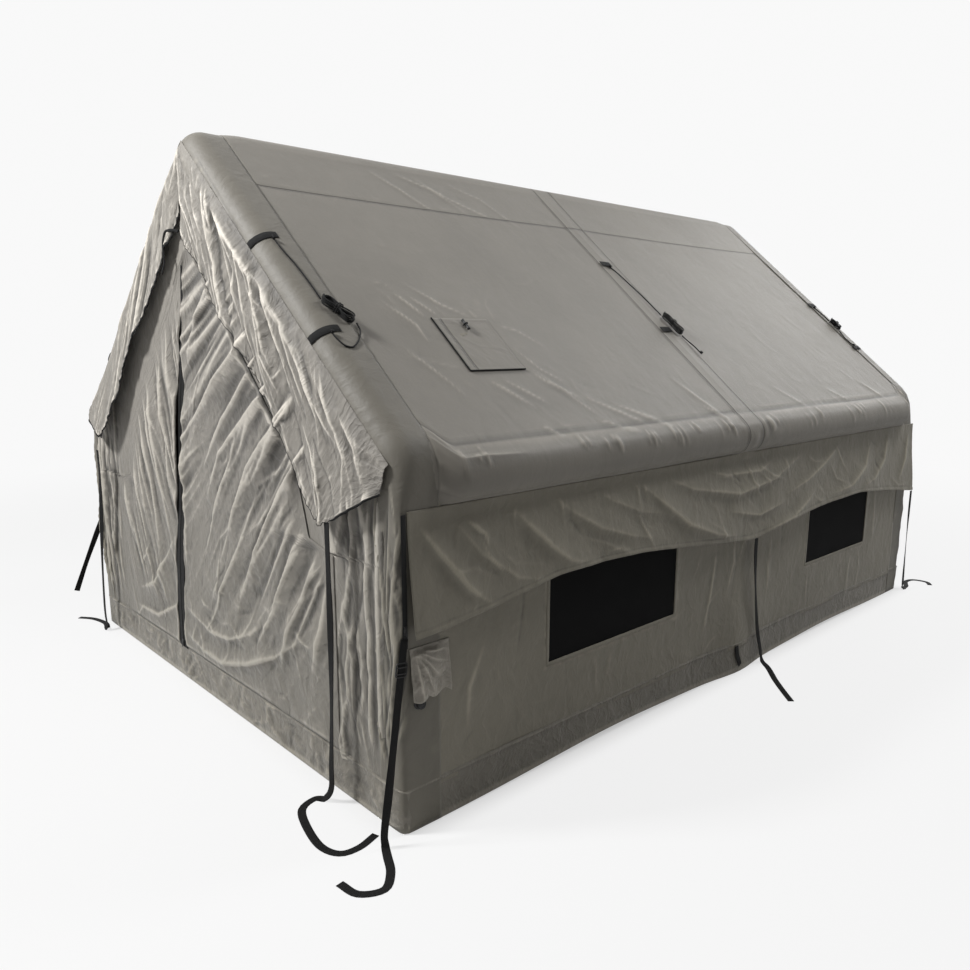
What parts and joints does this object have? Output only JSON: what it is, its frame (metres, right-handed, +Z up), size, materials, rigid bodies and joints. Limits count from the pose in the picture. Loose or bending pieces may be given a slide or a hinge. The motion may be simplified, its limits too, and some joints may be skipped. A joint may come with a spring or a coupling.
{
  "type": "tent",
  "caption": "Air-frame lodge tent with tub floor, zipped door end, mesh windows, overhanging side flaps and stowed guy cords",
  "frame": {"origin": "bottom centre of the tub floor, on the ground", "axes": "X across the tent, Y along the ridge with the door end at -Y, Z up"},
  "size_m": [3.4338, 4.709, 2.465],
  "materials": {
    "roof_cloth": "satin",
    "wall_cloth": "matte",
    "end_cloth": "matte",
    "flap_cloth": "matte",
    "tube_sleeve": "satin",
    "floor_sheet": "matte",
    "mesh_net": "matte",
    "webbing": "matte",
    "guy_cord": "matte",
    "zip_tape": "matte",
    "dark_plastic": "matte"
  },
  "bodies": {
    "root": {"corner_strap": "webbing", "front_arch_tube": "tube_sleeve", "front_gable": "end_cloth", "front_guy_hank": "guy_cord", "front_guy_run": "guy_cord", "front_guy_tail": "guy_cord", "front_left_eave_tube": "tube_sleeve", "front_left_lower_tab": "webbing", "front_left_strap": "webbing", "front_left_upper_tab": "webbing", "front_ridge_tube": "tube_sleeve", "front_right_eave_tube": "tube_sleeve", "front_right_lower_tab": "webbing", "front_right_strap": "webbing", "front_right_upper_tab": "webbing", "gable_flap_left": "end_cloth", "gable_flap_right": "end_cloth", "inflation_valve": "dark_plastic", "left_corner_strap": "webbing", "middle_arch_tube": "tube_sleeve", "middle_guy_hank": "guy_cord", "middle_guy_run": "guy_cord", "middle_guy_tail": "guy_cord", "middle_lower_tab": "webbing", "middle_strap": "webbing", "middle_strap_tail": "webbing", "middle_upper_tab": "webbing", "rear_arch_tube": "tube_sleeve", "rear_gable": "end_cloth", "rear_guy_hank": "guy_cord", "rear_guy_run": "guy_cord", "rear_guy_tail": "guy_cord", "rear_left_eave_tube": "tube_sleeve", "rear_lower_tab": "webbing", "rear_ridge_tube": "tube_sleeve", "rear_right_eave_tube": "tube_sleeve", "rear_strap": "webbing", "rear_upper_tab": "webbing", "roof_cover": "roof_cloth", "side_wall_left": "wall_cloth", "side_wall_right": "wall_cloth", "side_zip": "zip_tape", "stove_jack_collar": "flap_cloth", "tub_floor": "floor_sheet", "window_mesh_left_front": "mesh_net", "window_mesh_left_rear": "mesh_net", "window_mesh_right_front": "mesh_net", "window_mesh_right_rear": "mesh_net"},
    "door_right": {"door_leaf_right": "end_cloth", "centre_zip": "zip_tape"},
    "door_left": {"door_leaf_left": "end_cloth"},
    "door_slider": {"centre_zip_slider": "dark_plastic"},
    "corner_slider": {"side_zip_slider": "dark_plastic"},
    "jack_cover": {"stove_flap": "roof_cloth", "flap_toggle": "dark_plastic"},
    "valve_cover": {"valve_flap": "end_cloth"},
    "valve_lid": {"valve_cap": "dark_plastic"},
    "overhang_right": {"side_flap_right": "flap_cloth"},
    "overhang_left": {"side_flap_left": "flap_cloth"},
    "buckle": {"strap_buckle": "dark_plastic"}
  },
  "joints": [
    {"name": "door_right_swing", "type": "hinge", "parent": "root", "child": "door_right", "pos_m": [1.06, -2.04875, 0.165], "axis": [0, 0, 1], "range_deg": [0, 110]},
    {"name": "door_left_swing", "type": "hinge", "parent": "root", "child": "door_left", "pos_m": [-1.06, -2.04875, 0.165], "axis": [0, 0, -1], "range_deg": [0, 110]},
    {"name": "door_zip_travel", "type": "slide", "parent": "door_right", "child": "door_slider", "axis": [0.1594, 0, 0.9872], "range_m": [0, 1.7]},
    {"name": "corner_zip_travel", "type": "slide", "parent": "root", "child": "corner_slider", "axis": [0, 0, 1], "range_m": [0, 0.34]},
    {"name": "jack_cover_lift", "type": "hinge", "parent": "root", "child": "jack_cover", "pos_m": [0.9314, -1.3675, 1.71898], "axis": [0, -1, 0], "range_deg": [0, 120]},
    {"name": "valve_cover_lift", "type": "hinge", "parent": "root", "child": "valve_cover", "pos_m": [1.4403, -1.932, 0.66], "axis": [0, -1, 0], "range_deg": [0, 90]},
    {"name": "valve_lid_turn", "type": "hinge", "parent": "root", "child": "valve_lid", "pos_m": [1.4446, -1.978, 0.463], "axis": [1, 0, 0], "range_deg": [0, 90]},
    {"name": "overhang_right_lift", "type": "hinge", "parent": "root", "child": "overhang_right", "pos_m": [1.44145, 0, 1.115], "axis": [0, -1, 0], "range_deg": [0, 60]},
    {"name": "overhang_left_lift", "type": "hinge", "parent": "root", "child": "overhang_left", "pos_m": [-1.44145, 0, 1.115], "axis": [0, 1, 0], "range_deg": [0, 60]},
    {"name": "buckle_travel", "type": "slide", "parent": "root", "child": "buckle", "axis": [0, -0.1428, -0.9897], "range_m": [0, 0.22]}
  ]
}
